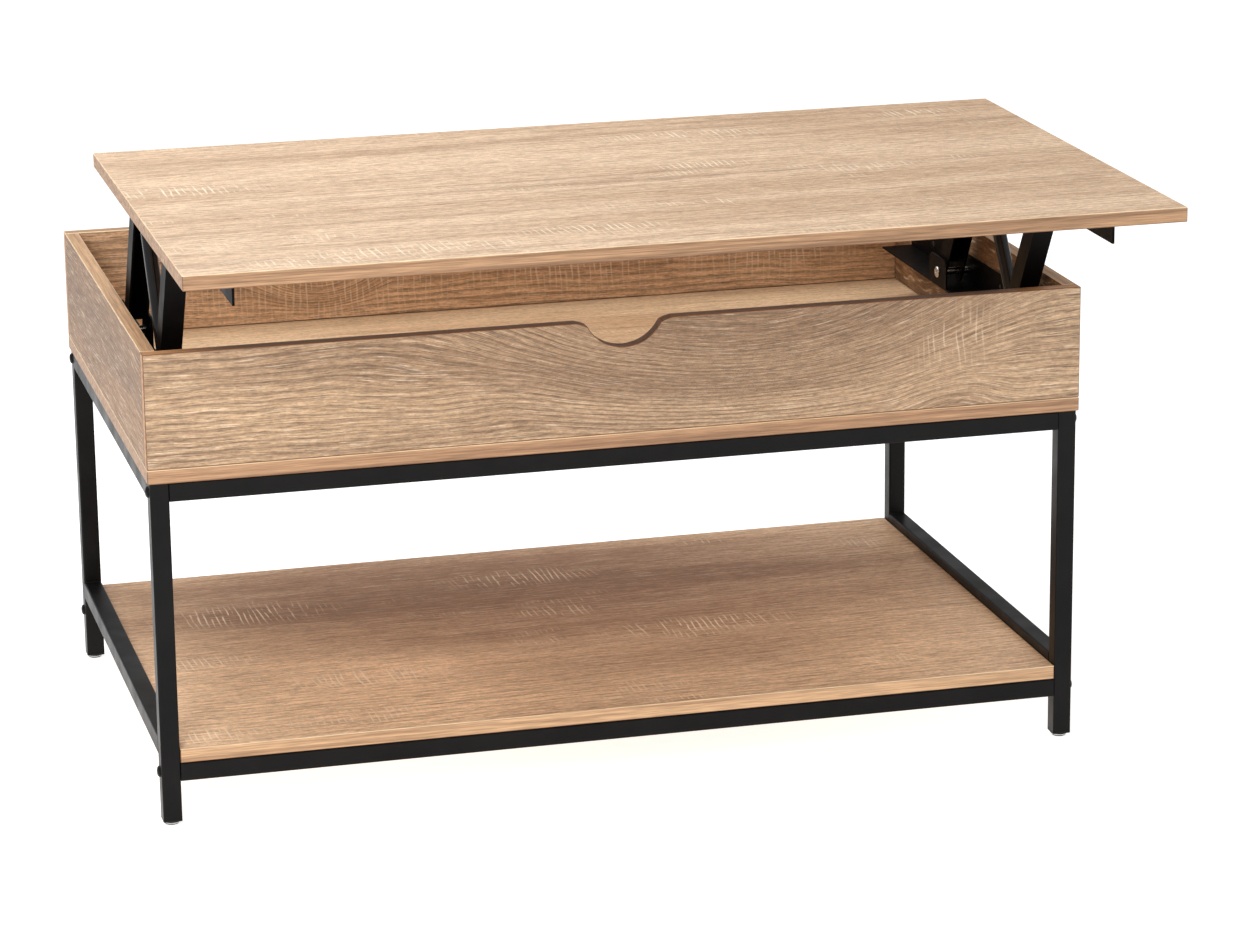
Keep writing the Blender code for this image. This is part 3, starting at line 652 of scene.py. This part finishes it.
# %% [markdown]
# ## Black steel
# The frame is powder coated: near black, satin, with the fine orange peel that melted powder
# leaves. The mechanism is painted sheet steel, duller and with a coarser skin, and the strut's
# cylinder has a gloss paint. The pivots, sleeves and rods are bright zinc plate. All the black
# finishes are one function with other numbers: grain size, depth of the grain and sheen.

# %% Metal and plastic materials


def make_powder_coat(name, colour, roughness, grain_size, depth, sheen):
    material, tree, shader = new_material(name, roughness)
    place = add_node(tree, "TexCoord").outputs["Object"]
    peel = add_node(tree, "TexNoise", {"Vector": place, "Scale": 1 / grain_size, "Detail": 3.0,
                                       "Roughness": 0.55}).outputs["Fac"]
    wear = add_node(tree, "TexNoise", {"Vector": place, "Scale": 22.0,
                                       "Detail": 4.0}).outputs["Fac"]
    tone = rise(tree, wear, 0.3, 0.7, 0.75, 1.35)
    tree.links.new(shaded(tree, colour[:3], tone), shader.inputs["Base Color"])
    tree.links.new(rise(tree, wear, 0.25, 0.75, roughness - 0.07, roughness + 0.07),
                   shader.inputs["Roughness"])
    bump = add_node(tree, "Bump", {"Height": peel, "Strength": 0.3, "Distance": depth})
    tree.links.new(bump.outputs[0], shader.inputs["Normal"])
    shader.inputs["Specular IOR Level"].default_value = sheen
    return material


def make_zinc(name, colour, roughness):
    material, tree, shader = new_material(name, roughness, 1.0)
    place = add_node(tree, "TexCoord").outputs["Object"]
    spangle = add_node(tree, "TexNoise", {"Vector": place, "Scale": 260.0,
                                          "Detail": 3.0}).outputs["Fac"]
    tone = rise(tree, spangle, 0.3, 0.7, 0.85, 1.1)
    tree.links.new(shaded(tree, colour[:3], tone), shader.inputs["Base Color"])
    tree.links.new(rise(tree, spangle, 0.3, 0.7, roughness - 0.06, roughness + 0.1),
                   shader.inputs["Roughness"])
    return material


frame_black = make_powder_coat("frame_powder_coat", srgb(15, 14, 14), 0.40, 0.9 * MM,
                               0.05 * MM, 0.14)
arm_black = make_powder_coat("mechanism_paint", srgb(10, 9, 9), 0.46, 1.6 * MM,
                             0.03 * MM, 0.06)
strut_black = make_powder_coat("strut_gloss_paint", srgb(16, 16, 18), 0.18, 3.0 * MM,
                               0.01 * MM, 0.45)
foot_plastic = make_powder_coat("foot_plastic", srgb(22, 22, 22), 0.55, 0.7 * MM,
                                0.04 * MM, 0.25)
black_screw = make_powder_coat("black_screw_oxide", srgb(26, 25, 25), 0.30, 1.2 * MM,
                               0.02 * MM, 0.35)
bright_zinc = make_zinc("bright_zinc", srgb(206, 204, 200), 0.26)
BLACK_FINISHES = (frame_black, arm_black, strut_black, foot_plastic, black_screw)
print("black finishes:", [material.name for material in BLACK_FINISHES])

# %% [markdown]
# ## Steel tubes
# Legs and rails are 20 mm square tube. A rolled tube has rounded corners, so the four long edges
# of a block get a two millimetre bevel. Its ends are open: each end face is inset by the wall and
# pushed inwards.

# %% Legs and rails
TUBE_CORNER = 2.0 * MM
TUBE_WALL = 1.2 * MM
OPEN_END = 28 * MM
TUBE_AXES = {"leg": 2, "front_rail": 0, "rear_rail": 0, "left_rail": 1, "right_rail": 1}


def make_tube(node, axis):
    low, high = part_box(node)
    tube = start_block(node + "_tube", low, high)
    pick(tube, "EDGE", lambda middle, way: abs(way[axis]) > 0.9)
    bpy.ops.mesh.bevel(offset=TUBE_CORNER, segments=4, affect="EDGES")
    leave_edit()
    pick(tube, "FACE", lambda middle, normal: abs(normal[axis]) > 0.9)
    bpy.ops.mesh.inset(thickness=TUBE_WALL)
    bpy.ops.mesh.extrude_region_shrink_fatten(
        TRANSFORM_OT_shrink_fatten={"value": -OPEN_END})
    leave_edit()
    return finish_piece(tube, [frame_black], "frame_and_box", "frame_steel", node)


tube_nodes = [name for name in frame["nodes"] if name.endswith(("_leg", "_rail"))]
for name in sorted(tube_nodes):
    make_tube(name, next(axis for end, axis in TUBE_AXES.items() if name.endswith(end)))
print("tubes:", len(tube_nodes))

# %% [markdown]
# ## Weld beads
# The side rails are welded between the legs. Such a seam is a row of small overlapping ripples,
# painted over with the frame. One ripple is a flattened ball, an Array modifier lays eleven of
# them in a row, and the row is copied under each joint and on top of the lower ones. The upper
# joints have none on top, where the box stands.

# %% Weld beads
BEAD_RADIUS = 1.5 * MM
RIPPLES = 11
RIPPLE_STEP = 1.45 * MM

bpy.ops.object.select_all(action="DESELECT")
bpy.ops.mesh.primitive_uv_sphere_add(segments=10, ring_count=6, radius=BEAD_RADIUS)
bead_master = bpy.context.object
bead_master.name = "bead_master"
pick(bead_master, "FACE", lambda middle, normal: True)
bpy.ops.transform.resize(value=(0.85, 1, 0.8), center_override=(0, 0, 0))
leave_edit()
apply_modifier(bead_master, "ARRAY", count=RIPPLES, use_relative_offset=False,
               use_constant_offset=True, constant_offset_displace=(RIPPLE_STEP, 0, 0))
bead_master.location.x = -RIPPLE_STEP * (RIPPLES - 1) / 2
settle(bead_master)


def place_copy(source, name, place, turn=(0, 0, 0)):
    """Copy a master with its own mesh, turn it and move it, and settle it."""
    take(source)
    bpy.ops.object.duplicate(linked=False)
    copy = bpy.context.object
    copy.name = copy.data.name = name
    copy.rotation_euler = turn
    copy.location = place
    return settle(copy)


bead_count = 0
for level in ("upper", "lower"):
    for side in ("left", "right"):
        low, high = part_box(f"{level}_{side}_rail")
        middle_x = (low.x + high.x) / 2
        for end, y in (("front", low.y), ("rear", high.y)):
            seats = [("under", low.z)]
            if level == "lower":
                seats.append(("top", high.z))
            for seat, z in seats:
                bead = place_copy(bead_master, f"{level}_{side}_{end}_{seat}_weld",
                                  (middle_x, y, z))
                finish_piece(bead, [frame_black], "frame_and_box", "frame_steel")
                bead_count += 1
bpy.data.objects.remove(bead_master)
print("weld beads:", bead_count)

# %% [markdown]
# ## Turned pieces
# Bolts, rivets, feet and struts are round. A disc is extruded ring by ring along its axis, and
# each new ring is scaled to its radius, as a lathe would cut it. The stack is then turned to lie
# along the axis it needs.

# %% Stack rings


def stack_rings(name, rings, sides=32):
    """A closed round piece along Z from (radius, height) pairs, flat at both ends."""
    bpy.ops.object.select_all(action="DESELECT")
    bpy.ops.mesh.primitive_circle_add(vertices=sides, radius=rings[0][0], fill_type="NGON",
                                      location=(0, 0, rings[0][1]))
    piece = bpy.context.object
    piece.name = piece.data.name = name
    settle(piece)
    bpy.ops.object.mode_set(mode="EDIT")
    bpy.ops.mesh.select_mode(type="FACE")
    bpy.ops.mesh.select_all(action="SELECT")
    for (last_radius, last_height), (radius, height) in zip(rings, rings[1:]):
        bpy.ops.mesh.extrude_region_move(
            TRANSFORM_OT_translate={"value": (0, 0, height - last_height)})
        share = radius / last_radius
        bpy.ops.transform.resize(value=(share, share, 1), center_override=(0, 0, height))
    bpy.ops.mesh.select_all(action="SELECT")
    bpy.ops.mesh.normals_make_consistent(inside=False)
    bpy.ops.object.mode_set(mode="OBJECT")
    return piece


def cut_with(piece, tool):
    """Cut one solid with another, which is used up."""
    apply_modifier(piece, "BOOLEAN", operation="DIFFERENCE", object=tool, solver="EXACT")
    bpy.data.objects.remove(tool)
    return piece


TOWARDS = {"+X": (0, pi / 2, 0), "-X": (0, -pi / 2, 0), "-Z": (pi, 0, 0)}

# %% [markdown]
# ## Bolts
# Low domed bolts with a hexagon socket hold the long rails between the legs. The dome is five
# rings, and a six-sided cutter sinks the socket.

# %% Domed socket bolts
bolt_low, bolt_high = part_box("upper_right_front_bolt")
HEAD_RADIUS = (bolt_high.z - bolt_low.z) / 2
leg_face_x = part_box("right_front_leg")[1].x
A_HAIR = 0.05 * MM
HEAD_HEIGHT = bolt_high.x - leg_face_x - A_HAIR
BOLT_STEM, BOLT_LENGTH = 3 * MM, 20 * MM
SOCKET_RADIUS = 2.3 * MM
bolt_master = stack_rings("bolt_master", [
    (BOLT_STEM, -BOLT_LENGTH), (BOLT_STEM, 0), (HEAD_RADIUS, 0), (HEAD_RADIUS, HEAD_HEIGHT * 0.25),
    (HEAD_RADIUS * 0.94, HEAD_HEIGHT * 0.50), (HEAD_RADIUS * 0.80, HEAD_HEIGHT * 0.75),
    (HEAD_RADIUS * 0.58, HEAD_HEIGHT * 0.93), (HEAD_RADIUS * 0.30, HEAD_HEIGHT)])
bpy.ops.mesh.primitive_cylinder_add(vertices=6, radius=SOCKET_RADIUS, depth=2 * HEAD_HEIGHT,
                                    location=(0, 0, 1.45 * HEAD_HEIGHT))
cut_with(bolt_master, settle(bpy.context.object))
bolt_nodes = sorted(name for name in frame["nodes"] if name.endswith("_bolt"))
for name in bolt_nodes:
    low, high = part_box(name)
    direction = "+X" if "right" in name else "-X"
    seat_x = leg_face_x if "right" in name else -leg_face_x
    bolt = place_copy(bolt_master, name + "_domed",
                      (seat_x, (low.y + high.y) / 2, (low.z + high.z) / 2), TOWARDS[direction])
    finish_piece(bolt, [frame_black], "frame_and_box", "frame_steel", name)
bpy.data.objects.remove(bolt_master)
print("bolts:", len(bolt_nodes))

# %% [markdown]
# ## Feet
# A plastic insert closes each leg, and a glide screws into it. The insert is a square lid with
# eased corners under a plug. The glide is a turned dome on a plain stem: a bright zinc band shows
# between its black sole and its black rim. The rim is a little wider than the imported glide, so
# that the foot nearly fills the leg's width.

# %% Leg inserts
LID = 1.5 * MM

for name in sorted(n for n in frame["nodes"] if n.endswith("_foot_insert")):
    low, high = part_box(name)
    insert = start_block(name + "_lid", low, (high.x, high.y, low.z + LID))
    pick(insert, "EDGE", lambda middle, way: abs(way.z) > 0.9)
    bpy.ops.mesh.bevel(offset=TUBE_CORNER, segments=4, affect="EDGES")
    leave_edit()
    pick(insert, "FACE", lambda middle, normal: normal.z > 0.9)
    bpy.ops.mesh.inset(thickness=TUBE_WALL + 0.3 * MM)
    bpy.ops.mesh.extrude_region_move(
        TRANSFORM_OT_translate={"value": (0, 0, high.z - low.z - LID)})
    leave_edit()
    pick(insert, "EDGE", lambda middle, way: abs(way.z) < 0.1 and middle.z < low.z + 0.1 * MM)
    bpy.ops.mesh.bevel(offset=0.4 * MM, segments=2, affect="EDGES")
    leave_edit()
    finish_piece(insert, [foot_plastic], "frame_and_box", "black_plastic", name)

# %% Glides
low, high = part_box("left_front_glide")
GLIDE_RADIUS = (high.x - low.x) / 2
GLIDE_STEM = 3 * MM
RIM_SHARE = 1.19
ZINC_FROM, ZINC_TO = 1.8 * MM, 3.1 * MM
glide_master = stack_rings("glide_master", [
    (GLIDE_RADIUS * 0.50, 0), (GLIDE_RADIUS * 0.84, 0.15 * MM), (GLIDE_RADIUS * 0.92, 0.5 * MM),
    (GLIDE_RADIUS * 0.96, 1.2 * MM), (GLIDE_RADIUS * 1.02, 1.7 * MM),
    (GLIDE_RADIUS * 1.10, 2.3 * MM), (GLIDE_RADIUS * 1.15, 3.0 * MM),
    (GLIDE_RADIUS * RIM_SHARE, 3.3 * MM), (GLIDE_RADIUS * RIM_SHARE, 4.1 * MM),
    (GLIDE_STEM, 4.2 * MM), (GLIDE_STEM, 12 * MM)], sides=36)
for name in sorted(n for n in frame["nodes"] if n.endswith("_glide")):
    low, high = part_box(name)
    glide = place_copy(glide_master, name + "_dome",
                       ((low.x + high.x) / 2, (low.y + high.y) / 2, low.z))
    finish_piece(glide, [bright_zinc, foot_plastic], "frame_and_box", "zinc_steel", name)
    for face in glide.data.polygons:
        height = face.center.z - low.z
        face.material_index = 0 if ZINC_FROM < height < ZINC_TO else 1
bpy.data.objects.remove(glide_master)
print("glide rim radius in mm:", round(GLIDE_RADIUS * RIM_SHARE / MM, 2))

# %% [markdown]
# ## Pressed steel of the mechanism
# The arms are channels, the base is a long bracket with an ear at each pivot, and an angle is
# screwed under the top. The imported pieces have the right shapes, with hard edges. Sheet steel
# that was cut and folded never has a sharp edge, so each copy gets a narrow round bevel.

# %% Arms, base brackets and top angles
SHEET_EDGE = 0.45 * MM


def round_edges(piece, width, segments=2, sharper_than=radians(35)):
    """Bevel the edges that are sharper than an angle."""
    apply_modifier(piece, "BEVEL", width=width, segments=segments, limit_method="ANGLE",
                   angle_limit=sharper_than)


def make_pressed(node, body, name):
    piece = copy_packed(node, name)
    round_edges(piece, SHEET_EDGE)
    return finish_piece(piece, [arm_black], body, "mechanism_steel", node)


for side in ("left", "right"):
    for end in ("front", "rear"):
        make_pressed(f"{side}_{end}_arm", f"{side}_{end}_arm", f"{side}_{end}_arm_channel")
    make_pressed(f"{side}_base_bracket", "frame_and_box", f"{side}_base_bracket_folded")
    make_pressed(f"{side}_top_angle", "lift_top", f"{side}_top_angle_folded")

# %% [markdown]
# ## Rivets
# Each pivot is a zinc plated rivet. Its head shows on the side towards the middle of the table,
# as a low button with a small dimple left by the press.

# %% Pivot rivets
PIN_RADIUS = 4 * MM
HEAD_DEPTH = 2.2 * MM
PIN_CHAMFER = 0.5 * MM

for name in sorted(n for n in frame["nodes"] if n.endswith("_pin")):
    low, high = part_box(name)
    head_radius = (high.z - low.z) / 2
    right = "right" in name
    length = high.x - low.x
    rivet = stack_rings(name + "_rivet", [
        (1.2 * MM, 0.5 * MM), (1.7 * MM, 0.05 * MM), (head_radius * 0.52, 0.0),
        (head_radius * 0.80, HEAD_DEPTH * 0.22), (head_radius * 0.96, HEAD_DEPTH * 0.55),
        (head_radius, HEAD_DEPTH * 0.85), (head_radius, HEAD_DEPTH), (PIN_RADIUS, HEAD_DEPTH),
        (PIN_RADIUS, length - PIN_CHAMFER), (PIN_RADIUS - PIN_CHAMFER, length)], sides=36)
    rivet.rotation_euler = TOWARDS["+X" if right else "-X"]
    rivet.location = (low.x if right else high.x, (low.y + high.y) / 2, (low.z + high.z) / 2)
    settle(rivet)
    body = "lift_top" if "top_pin" in name else "frame_and_box"
    finish_piece(rivet, [bright_zinc], body, "zinc_steel", name)

# %% [markdown]
# ## Struts
# A telescopic strut lies on the diagonal of each arm pair: a black tube, a bright sleeve inside
# it and a rod with a forked end. The tubes are stacked rings, the outer one with a groove rolled
# in near its mouth, and their bores are cut with a second, thinner stack. An eye joins the tube
# to its pivot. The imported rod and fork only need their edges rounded.

# %% Telescopic struts
joints = {joint["name"]: joint for joint in frame["joints"]}


def lie_on_strut(piece, side):
    """Turn a piece made along Z onto the strut's axis, from its lower pivot."""
    pivot = Vector(joints[f"{side}_strut_pivot"]["pos_m"])
    axis = Vector(joints[f"{side}_strut_middle_slide"]["axis"])
    low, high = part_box(f"{side}_strut_outer_tube")
    pivot.x = (low.x + high.x) / 2
    piece.rotation_euler = (atan2(axis.z, axis.y) - pi / 2, 0, 0)
    piece.location = pivot
    return settle(piece)


def bored_tube(name, rings, bore_radius, bore_start, bore_end):
    tube = stack_rings(name, rings, sides=40)
    return cut_with(tube, stack_rings("bore", [(bore_radius, bore_start),
                                               (bore_radius, bore_end)], sides=40))


OUTER, OUTER_BORE = 7.5 * MM, 6.3 * MM
SLEEVE, SLEEVE_BORE = 6.0 * MM, 4.8 * MM
PAST_THE_END = 5 * MM
EYE_RADIUS, EYE_WIDTH, EYE_HOLE = 9 * MM, 12 * MM, 4.35 * MM
GROOVE = 0.35 * MM
FORK_EDGE = 0.4 * MM
TUBE_MOUTH, SLEEVE_END = 186 * MM, 189 * MM
for side in ("left", "right"):
    outer = bored_tube(f"{side}_strut_cylinder", [
        (OUTER - 1.5 * MM, 3 * MM), (OUTER - 0.4 * MM, 5 * MM), (OUTER, 7 * MM),
        (OUTER, TUBE_MOUTH - 5 * MM), (OUTER - GROOVE, TUBE_MOUTH - 4.2 * MM),
        (OUTER - GROOVE, TUBE_MOUTH - 3.4 * MM), (OUTER, TUBE_MOUTH - 2.6 * MM),
        (OUTER, TUBE_MOUTH - 0.6 * MM), (OUTER - 0.6 * MM, TUBE_MOUTH)],
        OUTER_BORE, 13 * MM, TUBE_MOUTH + PAST_THE_END)
    take(outer)
    bpy.ops.mesh.primitive_cylinder_add(vertices=48, radius=EYE_RADIUS, depth=EYE_WIDTH,
                                        rotation=(0, pi / 2, 0))
    eye = settle(bpy.context.object)
    round_edges(eye, 0.8 * MM, 3, radians(40))
    apply_modifier(outer, "BOOLEAN", operation="UNION", object=eye, solver="EXACT")
    bpy.data.objects.remove(eye)
    bpy.ops.mesh.primitive_cylinder_add(vertices=36, radius=EYE_HOLE, depth=40 * MM,
                                        rotation=(0, pi / 2, 0))
    cut_with(outer, settle(bpy.context.object))
    lie_on_strut(outer, side)
    finish_piece(outer, [strut_black], f"{side}_strut_outer_tube", "mechanism_steel",
                 f"{side}_strut_outer_tube")

    sleeve = bored_tube(f"{side}_strut_sleeve", [
        (SLEEVE - 0.4 * MM, 18 * MM), (SLEEVE, 18.6 * MM),
        (SLEEVE, SLEEVE_END - 0.8 * MM), (SLEEVE - 0.5 * MM, SLEEVE_END)],
        SLEEVE_BORE, 10 * MM, SLEEVE_END + PAST_THE_END)
    lie_on_strut(sleeve, side)
    finish_piece(sleeve, [bright_zinc], f"{side}_strut_middle_tube", "zinc_steel",
                 f"{side}_strut_middle_tube")

    fork = copy_packed(f"{side}_strut_rod", f"{side}_strut_fork")
    round_edges(fork, FORK_EDGE)
    finish_piece(fork, [bright_zinc], f"{side}_strut_rod", "zinc_steel", f"{side}_strut_rod")

# %% [markdown]
# ## Screws
# Wood screws with a cross recess hold the brackets to the boards. Their heads are low, so that a
# folded arm passes over them. The recess is two crossing slots cut into a domed head.

# %% Screw heads
SLOT_LONG, SLOT_WIDE, SLOT_DEEP = 4.2 * MM, 0.9 * MM, 1.4 * MM
screw_master = stack_rings("screw_master", [
    (2.0 * MM, -6 * MM), (2.0 * MM, 0), (4.4 * MM, 0), (4.4 * MM, 0.35 * MM),
    (3.9 * MM, 0.8 * MM), (2.6 * MM, 1.15 * MM), (1.0 * MM, 1.25 * MM)], sides=28)
for slot_size in ((SLOT_LONG, SLOT_WIDE, SLOT_DEEP), (SLOT_WIDE, SLOT_LONG, SLOT_DEEP)):
    half = Vector(slot_size) / 2
    slot_block = start_block("slot_cutter", -half, half)
    slot_block.location.z = 1.15 * MM
    cut_with(screw_master, settle(slot_block))

# %% Screws in their places, as shares of a bracket's length
BASE_SCREWS = (0.180, 0.3187, 0.822)
ANGLE_SCREWS = (0.08, 0.36, 0.64, 0.92)
SHEET = 2 * MM
ANGLE_SHEET = 2.5 * MM
ABOVE_PIVOTS = 3 * MM
IN_FROM_ANGLE_EDGE = 11.5 * MM
pivot_z = joints["top_lift"]["pos_m"][2]
screw_count = 0
for side, sign in (("left", -1), ("right", 1)):
    low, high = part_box(f"{side}_base_bracket")
    wall_x = (high.x if sign > 0 else low.x) - sign * SHEET
    for number, share in enumerate(BASE_SCREWS, 1):
        screw = place_copy(screw_master, f"{side}_base_screw_{number}",
                           (wall_x, low.y + share * (high.y - low.y), pivot_z + ABOVE_PIVOTS),
                           TOWARDS["-X" if sign > 0 else "+X"])
        finish_piece(screw, [black_screw], "frame_and_box", "mechanism_steel")
        screw_count += 1
    low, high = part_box(f"{side}_top_angle")
    inner_x = low.x if sign > 0 else high.x
    for number, share in enumerate(ANGLE_SCREWS, 1):
        screw = place_copy(screw_master, f"{side}_angle_screw_{number}",
                           (inner_x + sign * IN_FROM_ANGLE_EDGE,
                            low.y + share * (high.y - low.y), high.z - ANGLE_SHEET),
                           TOWARDS["-Z"])
        finish_piece(screw, [bright_zinc], "lift_top", "zinc_steel")
        screw_count += 1
bpy.data.objects.remove(screw_master)
print("screws:", screw_count)
